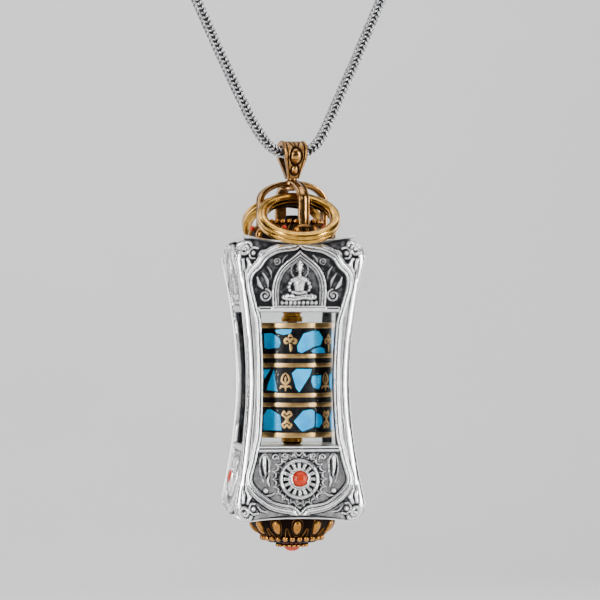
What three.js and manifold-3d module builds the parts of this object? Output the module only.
// A prayer wheel pendant, in millimetres, +Z up and its front towards -Y.
// The origin is the middle of the neck chain, where the chain carries the bail.

import * as THREE from 'three';
import { mergeVertices } from 'three/addons/utils/BufferGeometryUtils.js';
import Module from 'manifold-3d';

const wasm = await Module();
wasm.setup();

// Driving dimensions

const WAIST_Z = -41.4; // the middle of the waisted case
const WAIST_HALF = 9.2; // half the width of the case there
const FLARE = 2.6; // how far each side has moved out at its ends
const FLARE_HEIGHT = 22; // the height over which it does so
const FLARE_POWER = 1.8;
const FACE_THICKNESS = 1.3;
const FACE_TOP = { corner: -15.7, middle: -16.9 };
const FACE_BOTTOM = { corner: -66.5, middle: -65.7 };
const FIELD_DEPTH = 0.5; // how deep the relief's ground lies
const MITRE_GAP = 0.2;
const WINDOW = { top: -28.9, bottom: -53.1, waistHalf: 6.3, endHalf: 6.9 };
const WHEEL_RELIEF = { z: -59, radius: 3.6 };

const PLATE = { half: 10.2, hollow: 1, thickness: 0.7, bend: 1.1 };
const PLATE_TOP_Z = -15.95; // the middle of the top plate's upper side
const PLATE_BOTTOM_Z = -66.2; // the middle of the bottom plate's lower side

const GLASS = { inner: 8.1, outer: 8.6, top: -28.95, bottom: -53.05 };
const DECK = { half: 8.5, thickness: 0.8 };
const BUSH = { radius: 1.95, bore: 1, height: 2.6 };
const AXLE_RADIUS = 0.9;

const DRUM = { top: -30.85, bottom: -51.7, radius: 7.85, cap: 0.95 };
const SHELL = { outer: 7.6, inner: 6.7 };
const CORE = { outer: 6.6, inner: 5.8 };
const SCROLL = { outer: 5.6, inner: 1.1 };
const WIRE_ROWS = [-36.85, -38.5, -43.95, -45.7]; // the middles of the four gilt lines
const WIRE_HEIGHT = 0.75;

const CROWN_YAW = THREE.MathUtils.degToRad(12.4); // the crown stands turned on the case
const CROWN = { top: -4.9, spring: -8.6, foot: -12.75, outer: 6.75, leg: 1.1, top_leg: 0.85, width: 2 };
const PEG = { radius: 0.6, bore: 0.75 };
const DOME_DECK_Z = -12.9;
const TOP_BEADS = { z: -12.4, radius: 5.15, bead: 0.38, count: 26 };
const DOME_CORAL = { radius: 0.45, ring: 7.75, z: -13.6, start: -18, count: 6 };

const KNOB = { top: -66.5, bottom: -69.5 };
const KNOB_BEADS = { z: -70.15, radius: 5.4, bead: 0.5, count: 26 };
const FINIAL_BEADS = { z: -71.5, radius: 2.7, bead: 0.4, count: 18 };
const FINIAL_CORAL = { z: -71.35, radius: 1.6, height: 1.35 };

const RING = { outer: 7.6, inner: 5.8, height: 2.25 };
const FRONT_RING = { centre: [0.25, -7.2, -11.9], tilt: 33.2 };
const BACK_RING = { centre: [-0.7, 7.8, -12.35], tilt: -34 };

const CHAIN_RADIUS = 0.825;
// The chain's route in the crown's upright plane: sideways, then height
const CHAIN_ROUTE = [
  [-20.1, 31.2], [-18.3, 27.4], [-16.6, 23.8], [-14.9, 20.2], [-13.2, 16.7], [-11.5, 13.2], [-9.8, 9.8],
  [-8.1, 6.5], [-6.6, 4.1], [-5.2, 2.3], [-3.8, 1.05], [-2.5, 0.38], [-1.2, 0.06], [0, 0],
  [1.2, 0.05], [2.4, 0.34], [3.6, 0.95], [4.8, 2.05], [6, 3.85], [7.3, 6.5],
  [8.8, 9.8], [10.4, 13.2], [12, 16.7], [13.6, 20.2], [15.2, 23.8], [16.8, 27.4], [18.5, 31.2],
];
const CHAIN_STEPS = 48;

// Materials

const finish = (color, roughness, metalness, extra = {}) =>
  new THREE.MeshStandardMaterial({ color, roughness, metalness, ...extra });
const silver = finish(0xc9c9cb, 0.28, 1);
const agedGold = finish(0xa8763f, 0.38, 1);
const bronze = finish(0xa97f57, 0.35, 1);
const brass = finish(0xc99b45, 0.2, 1);
const steel = finish(0x8d8f92, 0.3, 1);
const coral = finish(0xd8481e, 0.25, 0);
const resin = finish(0x0b0c0d, 0.25, 0);
const paper = finish(0xe6dcc2, 0.9, 0);
const glass = finish(0xf2f6f7, 0.04, 0, { transparent: true, opacity: 0.3 });

// Solids: closed meshes whose shared vertices are merged

function solidOf(geometry) {
  const bare = geometry.clone();
  bare.deleteAttribute('normal');
  bare.deleteAttribute('uv');
  const merged = mergeVertices(bare, 1e-4);
  const corners = merged.index.array;
  const places = merged.attributes.position.array;
  const triangles = [];
  let volume = 0;
  for (let i = 0; i < corners.length; i += 3) {
    const [a, b, c] = [corners[i], corners[i + 1], corners[i + 2]];
    if (a === b || b === c || c === a) continue;
    triangles.push([a, b, c]);
    const [p, q, r] = [a, b, c].map((k) => new THREE.Vector3().fromArray(places, 3 * k));
    volume += p.dot(q.cross(r));
  }
  const outward = volume > 0 ? triangles : triangles.map(([a, b, c]) => [a, c, b]);
  return new wasm.Manifold(new wasm.Mesh({
    numProp: 3,
    vertProperties: new Float32Array(places),
    triVerts: new Uint32Array(outward.flat()),
  }));
}

function geometryOf(solid) {
  const mesh = solid.getMesh();
  const geometry = new THREE.BufferGeometry();
  geometry.setAttribute('position', new THREE.BufferAttribute(mesh.vertProperties, 3));
  geometry.setIndex(new THREE.BufferAttribute(mesh.triVerts, 1));
  geometry.computeVertexNormals();
  return geometry;
}

// A profile of [radius, height] points, turned about Z. It closes on itself unless it ends on the axis.
function turned(profile, segments = 32) {
  const points = profile.map(([r, z]) => new THREE.Vector2(r, z));
  const onAxis = profile[0][0] === 0 && profile.at(-1)[0] === 0;
  if (!onAxis) points.push(points[0].clone());
  return solidOf(new THREE.LatheGeometry(points, segments).rotateX(Math.PI / 2));
}

const ringSolid = (outer, inner, low, high, segments) =>
  turned([[inner, low], [outer, low], [outer, high], [inner, high]], segments);
const rod = (radius, low, high, segments = 16) =>
  turned([[0, low], [radius, low], [radius, high], [0, high]], segments);

// An outline in (x, z), pushed along Y between two depths
function pushedAlongY(shape, near, far, curveSegments = 8) {
  const geometry = new THREE.ExtrudeGeometry(shape, { depth: far - near, bevelEnabled: false, curveSegments });
  return solidOf(geometry.rotateX(Math.PI / 2).translate(0, far, 0));
}

// An outline in (y, z), pushed along X evenly to both sides
function pushedAlongX(shape, half) {
  const geometry = new THREE.ExtrudeGeometry(shape, { depth: 2 * half, bevelEnabled: false });
  return solidOf(geometry.translate(0, 0, -half).rotateY(Math.PI / 2).rotateX(Math.PI / 2));
}

const polygon = (points) => new THREE.Shape(points.map(([a, b]) => new THREE.Vector2(a, b)));

// A row of beads on a wire: a ring whose outline and thickness swell at each bead
function beadRow({ z, radius, bead, count }) {
  const sides = 6;
  const around = count * 2;
  const geometry = new THREE.TorusGeometry(radius, bead, sides, around);
  const place = geometry.attributes.position;
  for (let i = 0; i < place.count; i++) {
    const p = new THREE.Vector3().fromBufferAttribute(place, i);
    const turn = Math.atan2(p.y, p.x);
    const middle = new THREE.Vector3(radius * Math.cos(turn), radius * Math.sin(turn), 0);
    const swell = 0.72 + 0.28 * Math.cos(turn * count);
    p.sub(middle).multiplyScalar(swell).add(middle);
    place.setXYZ(i, p.x, p.y, p.z);
  }
  return solidOf(geometry.translate(0, 0, z));
}

// The case

// Half the width of the waisted case at a height
function caseHalf(z) {
  const t = Math.min(Math.abs(z - WAIST_Z) / FLARE_HEIGHT, 1);
  return WAIST_HALF + FLARE * t ** FLARE_POWER;
}

// A band that follows the front's waisted surface, between two depths below it
function waistedBand(shallow, deep) {
  const steps = 12;
  const low = FACE_BOTTOM.corner - 1;
  const high = FACE_TOP.corner + 1;
  const heights = Array.from({ length: steps + 1 }, (_, i) => low + ((high - low) * i) / steps);
  const front = heights.map((z) => [-(caseHalf(z) - shallow), z]);
  const back = heights.map((z) => [-(caseHalf(z) - deep), z]).reverse();
  return pushedAlongX(polygon([...front, ...back]), 14);
}

function faceOutline() {
  const edge = 13;
  const shape = new THREE.Shape();
  shape.moveTo(-edge, FACE_BOTTOM.corner);
  shape.quadraticCurveTo(0, 2 * FACE_BOTTOM.middle - FACE_BOTTOM.corner, edge, FACE_BOTTOM.corner);
  shape.lineTo(edge, FACE_TOP.corner);
  shape.quadraticCurveTo(0, 2 * FACE_TOP.middle - FACE_TOP.corner, -edge, FACE_TOP.corner);
  shape.closePath();
  return shape;
}

// The window's sides follow the waist
function windowOutline() {
  const { top, bottom, waistHalf, endHalf } = WINDOW;
  const bulge = 2 * waistHalf - endHalf;
  const shape = new THREE.Shape();
  shape.moveTo(-endHalf, bottom);
  shape.lineTo(endHalf, bottom);
  shape.quadraticCurveTo(bulge, WAIST_Z, endHalf, top);
  shape.lineTo(-endHalf, top);
  shape.quadraticCurveTo(-bulge, WAIST_Z, -endHalf, bottom);
  return shape;
}

// The sunk ground under the leafy arch above the window
function upperField() {
  const shape = new THREE.Shape();
  shape.moveTo(-7, -27.7);
  shape.lineTo(7, -27.7);
  shape.lineTo(8.6, -23);
  shape.quadraticCurveTo(7.4, -20.6, 5.5, -19);
  shape.quadraticCurveTo(3.6, -18, 0, -17.7);
  shape.quadraticCurveTo(-3.6, -18, -5.5, -19);
  shape.quadraticCurveTo(-7.4, -20.6, -8.6, -23);
  return shape;
}

// The pointed niche that stands on the ledge
function niche() {
  const shape = new THREE.Shape();
  shape.moveTo(-4.6, -27.8);
  shape.lineTo(4.6, -27.8);
  shape.quadraticCurveTo(5.6, -22, 0, -18.1);
  shape.quadraticCurveTo(-5.6, -22, -4.6, -27.8);
  return shape;
}

// The sunk ground round the wheel below the window
function lowerField() {
  const shape = new THREE.Shape();
  shape.moveTo(-7, -54.2);
  shape.lineTo(7, -54.2);
  shape.lineTo(8.6, -59.3);
  shape.quadraticCurveTo(6, -63.4, 0, -63.9);
  shape.quadraticCurveTo(-6, -63.4, -8.6, -59.3);
  return shape;
}

const circleAt = (radius, z) => new THREE.Shape().absarc(0, z, radius, 0, 2 * Math.PI, false);

function faceSolid() {
  const near = -14;
  const far = -6;
  // everything nearer the front than the two mitres
  const wedge = solidOf(new THREE.ExtrudeGeometry(
    polygon([[0, -MITRE_GAP], [-near, near - MITRE_GAP], [near, near - MITRE_GAP]]),
    { depth: 56, bevelEnabled: false },
  ).translate(0, 0, -69));
  const niches = pushedAlongY(niche(), near, far);
  const wheel = pushedAlongY(circleAt(WHEEL_RELIEF.radius, WHEEL_RELIEF.z), near, far, 12);
  const ground = pushedAlongY(upperField(), near, far, 6).subtract(niches)
    .add(pushedAlongY(lowerField(), near, far, 6).subtract(wheel))
    .intersect(waistedBand(-2, FIELD_DEPTH));
  return waistedBand(0, FACE_THICKNESS)
    .intersect(pushedAlongY(faceOutline(), near, far, 10))
    .intersect(wedge)
    .subtract(pushedAlongY(windowOutline(), near, far, 8))
    .subtract(ground);
}

// A thin square plate with hollow sides and corners that are bent away from the case
function plateSolid(sign) {
  const { half, hollow, thickness, bend } = PLATE;
  const cells = 10;
  const geometry = new THREE.BoxGeometry(2 * half, 2 * half, thickness, cells, cells, 1);
  const place = geometry.attributes.position;
  for (let i = 0; i < place.count; i++) {
    const [x, y, z] = [place.getX(i), place.getY(i), place.getZ(i)];
    const [a, b] = [x / half, y / half];
    const pullX = (hollow / half) * (1 - b * b) * a * a;
    const pullY = (hollow / half) * (1 - a * a) * b * b;
    place.setXYZ(i, x * (1 - pullX), y * (1 - pullY), z + sign * bend * ((a * a + b * b) / 2) ** 2);
  }
  return solidOf(geometry);
}

function deckSolid(low) {
  const outline = polygon([[-1, -1], [1, -1], [1, 1], [-1, 1]].map(([x, y]) => [x * DECK.half, y * DECK.half]));
  const hole = new THREE.Path().absarc(0, 0, BUSH.radius + 0.15, 0, 2 * Math.PI, true);
  outline.holes.push(hole);
  const geometry = new THREE.ExtrudeGeometry(outline, { depth: DECK.thickness, bevelEnabled: false });
  return solidOf(geometry.translate(0, 0, low));
}

// A dome of petals: a turned shell whose lower edge swells twelve times round
function petalDome(profile) {
  const petals = 12;
  const points = [...profile, profile[0]].map(([r, z]) => new THREE.Vector2(r, z));
  const geometry = new THREE.LatheGeometry(points, petals * 3).rotateX(Math.PI / 2);
  const place = geometry.attributes.position;
  for (let i = 0; i < place.count; i++) {
    const [x, y, z] = [place.getX(i), place.getY(i), place.getZ(i)];
    const r = Math.hypot(x, y);
    const lobe = r > 5.9 ? 1 + 0.018 * Math.cos(petals * Math.atan2(y, x)) : 1;
    place.setXYZ(i, x * lobe, y * lobe, z);
  }
  return solidOf(geometry);
}

const topDomeProfile = [
  [7.75, -15.5], [7.55, -14.6], [7, -13.75], [5.6, DOME_DECK_Z], [1.4, DOME_DECK_Z], [1.2, -11.15],
  [0.5, -11.15], [0.5, -13.5], [5.6, -13.5], [6.9, -14.9], [7, -15.5],
];

// The crown

function archOutline() {
  const { outer, leg, top, top_leg: topLeg, spring, foot } = CROWN;
  const inner = outer - leg;
  const steps = 16;
  const angles = Array.from({ length: steps + 1 }, (_, i) => (Math.PI * i) / steps);
  const half = (r, rise) => angles.map((a) => [r * Math.cos(a), spring + rise * Math.sin(a)]);
  const over = half(outer, top - spring);
  const under = half(inner, top - topLeg - spring).reverse();
  return polygon([[outer, foot], ...over, [-outer, foot], [-inner, foot], ...under, [inner, foot]]);
}

function crownSolid() {
  const arch = pushedAlongY(archOutline(), -CROWN.width / 2, CROWN.width / 2);
  const hub = rod(1.6, CROWN.top - CROWN.top_leg, CROWN.top + 0.05);
  const bore = rod(PEG.bore, CROWN.top - 3, CROWN.top + 2);
  return arch.add(arch.rotate([0, 0, 90])).add(hub).subtract(bore);
}

// The bail: a drop-shaped loop that tapers to its peg. The chain runs through it along X.
function bailSolid() {
  const bottom = -4.6;
  const side = new THREE.Shape();
  side.absarc(0, 0, 2.55, THREE.MathUtils.degToRad(-20), THREE.MathUtils.degToRad(200), false);
  side.lineTo(-1, bottom);
  side.lineTo(1, bottom);
  side.closePath();
  const hole = new THREE.Path();
  hole.absarc(0, 0, 1.55, THREE.MathUtils.degToRad(-20), THREE.MathUtils.degToRad(200), false);
  hole.lineTo(-0.25, -3.7);
  hole.lineTo(0.25, -3.7);
  side.holes.push(hole);
  const loop = solidOf(new THREE.ExtrudeGeometry(side, { depth: 6, bevelEnabled: false, curveSegments: 16 })
    .translate(0, 0, -3).rotateY(Math.PI / 2).rotateX(Math.PI / 2));
  const front = polygon([[-0.95, bottom - 1], [0.95, bottom - 1], [2.2, 0.2], [2.2, 3], [-2.2, 3], [-2.2, 0.2]]);
  return loop.intersect(pushedAlongY(front, -4, 4)).add(rod(PEG.radius, -6.6, bottom + 0.4, 12));
}

// Settings and stones

const settingSolid = () => turned([
  [0, 0], [2, 0], [2, 0.55], [1.75, 0.75], [1.65, 0.75], [1.65, 0.3], [0, 0.3],
], 16);
const cabochonSolid = (radius, height) => turned([
  [0, 0], [radius, 0], [radius * 0.97, height * 0.35], [radius * 0.75, height * 0.75],
  [radius * 0.4, height * 0.95], [0, height],
], 16);

// The chain

function chainTube() {
  const route = new THREE.CatmullRomCurve3(CHAIN_ROUTE.map(([x, z]) => new THREE.Vector3(x, 0, z)));
  const section = new THREE.Shape(Array.from({ length: 8 }, (_, i) => new THREE.Vector2(
    CHAIN_RADIUS * Math.cos((Math.PI * i) / 4), CHAIN_RADIUS * Math.sin((Math.PI * i) / 4),
  )));
  return solidOf(new THREE.ExtrudeGeometry(section, { steps: CHAIN_STEPS, extrudePath: route }));
}

// An end cap over the chain's end with a soldered loop beyond it, built along +Z from the chain's end
function chainEnd() {
  const cap = turned([[0, 0.3], [0.95, 0.3], [0.95, -1.6], [1.3, -1.6], [1.3, 1.1], [0.9, 1.7], [0, 1.7]], 12);
  const loop = solidOf(new THREE.TorusGeometry(1.15, 0.35, 6, 12).rotateX(Math.PI / 2).translate(0, 0, 2.9));
  return cap.add(loop);
}
const jumpRing = () => solidOf(new THREE.TorusGeometry(1.6, 0.35, 6, 16).rotateY(Math.PI / 2).translate(0, 0, 4.85));

// The assembly

const model = new THREE.Group();
model.name = 'prayer_wheel_pendant';

function place(parent, name, solid, material) {
  const mesh = new THREE.Mesh(geometryOf(solid), material);
  mesh.name = name;
  parent.add(mesh);
  return mesh;
}

const turnedGroup = new THREE.Group(); // the chain, bail and crown stand turned on the case
turnedGroup.rotation.z = CROWN_YAW;
model.add(turnedGroup);

place(turnedGroup, 'chain', chainTube(), silver);
for (const [side, end, next] of [['left', 0, 1], ['right', -1, -2]]) {
  const [x, z] = CHAIN_ROUTE.at(end);
  const [nextX, nextZ] = CHAIN_ROUTE.at(next);
  const group = new THREE.Group();
  group.position.set(x, 0, z);
  group.rotation.y = Math.atan2(x - nextX, z - nextZ);
  turnedGroup.add(group);
  place(group, `chain_end_${side}`, chainEnd(), silver);
  place(group, `jump_ring_${side}`, jumpRing(), silver);
}
place(turnedGroup, 'bail', bailSolid(), bronze);
const washerTop = CROWN.top - CROWN.top_leg - 0.3;
place(turnedGroup, 'bail_washer', ringSolid(2.1, PEG.radius + 0.1, washerTop - 0.45, washerTop, 20), bronze);
place(turnedGroup, 'crown', crownSolid(), bronze);

place(model, 'top_dome', petalDome(topDomeProfile), agedGold);
place(model, 'top_bead_ring', beadRow(TOP_BEADS), agedGold);
for (let i = 0; i < DOME_CORAL.count; i++) {
  const turn = THREE.MathUtils.degToRad(DOME_CORAL.start + (360 / DOME_CORAL.count) * i);
  const bead = solidOf(new THREE.SphereGeometry(DOME_CORAL.radius, 6, 4));
  const mesh = place(model, `dome_coral_${i + 1}`, bead, coral);
  mesh.position.set(DOME_CORAL.ring * Math.sin(turn), -DOME_CORAL.ring * Math.cos(turn), DOME_CORAL.z);
}

const topPlate = place(model, 'top_plate', plateSolid(1), silver);
topPlate.position.z = PLATE_TOP_Z - PLATE.thickness / 2;
const axleHole = rod(AXLE_RADIUS + 0.15, -2, 2);
const bottomPlate = place(model, 'bottom_plate', plateSolid(-1).subtract(axleHole), silver);
bottomPlate.position.z = PLATE_BOTTOM_Z + PLATE.thickness / 2;

const face = faceSolid();
const wheelSurface = caseHalf(WHEEL_RELIEF.z);
const wheelSlope = Math.atan((caseHalf(WHEEL_RELIEF.z - 1) - caseHalf(WHEEL_RELIEF.z + 1)) / 2);
for (const [i, side] of ['front', 'right', 'back', 'left'].entries()) {
  const turn = (Math.PI / 2) * i;
  const sideGroup = new THREE.Group();
  sideGroup.rotation.z = turn;
  model.add(sideGroup);
  place(sideGroup, `face_${side}`, face, silver);
  const seat = new THREE.Group(); // its +Z points out of the relief wheel's middle
  seat.position.set(0, -(wheelSurface + 0.1), WHEEL_RELIEF.z);
  seat.rotation.x = Math.PI / 2 - wheelSlope;
  sideGroup.add(seat);
  place(seat, `wheel_setting_${side}`, settingSolid(), silver);
  const stone = place(seat, `wheel_coral_${side}`, cabochonSolid(1.55, 1.15), coral);
  stone.position.z = 0.4;
}

place(model, 'glass_tube', ringSolid(GLASS.outer, GLASS.inner, GLASS.bottom, GLASS.top, 32), glass);
place(model, 'upper_deck', deckSolid(GLASS.top + 0.1), silver);
place(model, 'lower_deck', deckSolid(GLASS.bottom - 0.1 - DECK.thickness), silver);
const bushes = { top_bush: DRUM.top + 0.15, bottom_bush: DRUM.bottom - 0.15 - BUSH.height };
for (const [name, low] of Object.entries(bushes)) {
  place(model, name, ringSolid(BUSH.radius, BUSH.bore, low, low + BUSH.height, 20), brass);
}

// The wheel, which turns in the bushes

const axleTop = DRUM.top + BUSH.height - 0.3;
place(model, 'axle', rod(AXLE_RADIUS, KNOB.bottom - 1.1, axleTop, 12), steel);
const caps = { drum_cap_top: DRUM.top - DRUM.cap, drum_cap_bottom: DRUM.bottom };
for (const [name, low] of Object.entries(caps)) {
  place(model, name, ringSolid(DRUM.radius, AXLE_RADIUS + 0.1, low, low + DRUM.cap, 24), brass);
}
const between = [DRUM.bottom + DRUM.cap + 0.05, DRUM.top - DRUM.cap - 0.05];
place(model, 'drum_core', ringSolid(CORE.outer, CORE.inner, ...between, 24), brass);
place(model, 'prayer_scroll', ringSolid(SCROLL.outer, SCROLL.inner, between[0] + 0.3, between[1] - 0.3, 24), paper);
place(model, 'inlay_shell', ringSolid(SHELL.outer, SHELL.inner, ...between, 24), resin);
for (const [i, z] of WIRE_ROWS.entries()) {
  const wire = ringSolid(DRUM.radius - 0.03, SHELL.outer + 0.05, z - WIRE_HEIGHT / 2, z + WIRE_HEIGHT / 2, 24);
  place(model, `drum_wire_${i + 1}`, wire, brass);
}

const knobProfile = [
  [7.55, KNOB.top], [7.45, -67.4], [6.8, -68.7], [5.9, KNOB.bottom], [5, KNOB.bottom], [3, KNOB.bottom - 1.4],
  [1.1, KNOB.bottom - 1.4], [1.1, KNOB.bottom - 0.4], [4, KNOB.bottom], [6, -68.6], [6.8, KNOB.top],
];
place(model, 'knob_dome', petalDome(knobProfile), agedGold);
place(model, 'knob_bead_ring', beadRow(KNOB_BEADS), agedGold);
place(model, 'finial_ring', beadRow(FINIAL_BEADS), agedGold);
const finial = place(model, 'finial_coral', cabochonSolid(FINIAL_CORAL.radius, FINIAL_CORAL.height), coral);
finial.rotation.x = Math.PI;
finial.position.z = FINIAL_CORAL.z;

// The loose rings

for (const [name, { centre, tilt }] of Object.entries({ front_ring: FRONT_RING, back_ring: BACK_RING })) {
  const ring = place(model, name, ringSolid(RING.outer, RING.inner, -RING.height / 2, RING.height / 2, 32), brass);
  ring.position.set(...centre);
  ring.rotation.x = THREE.MathUtils.degToRad(tilt);
}

export default model;
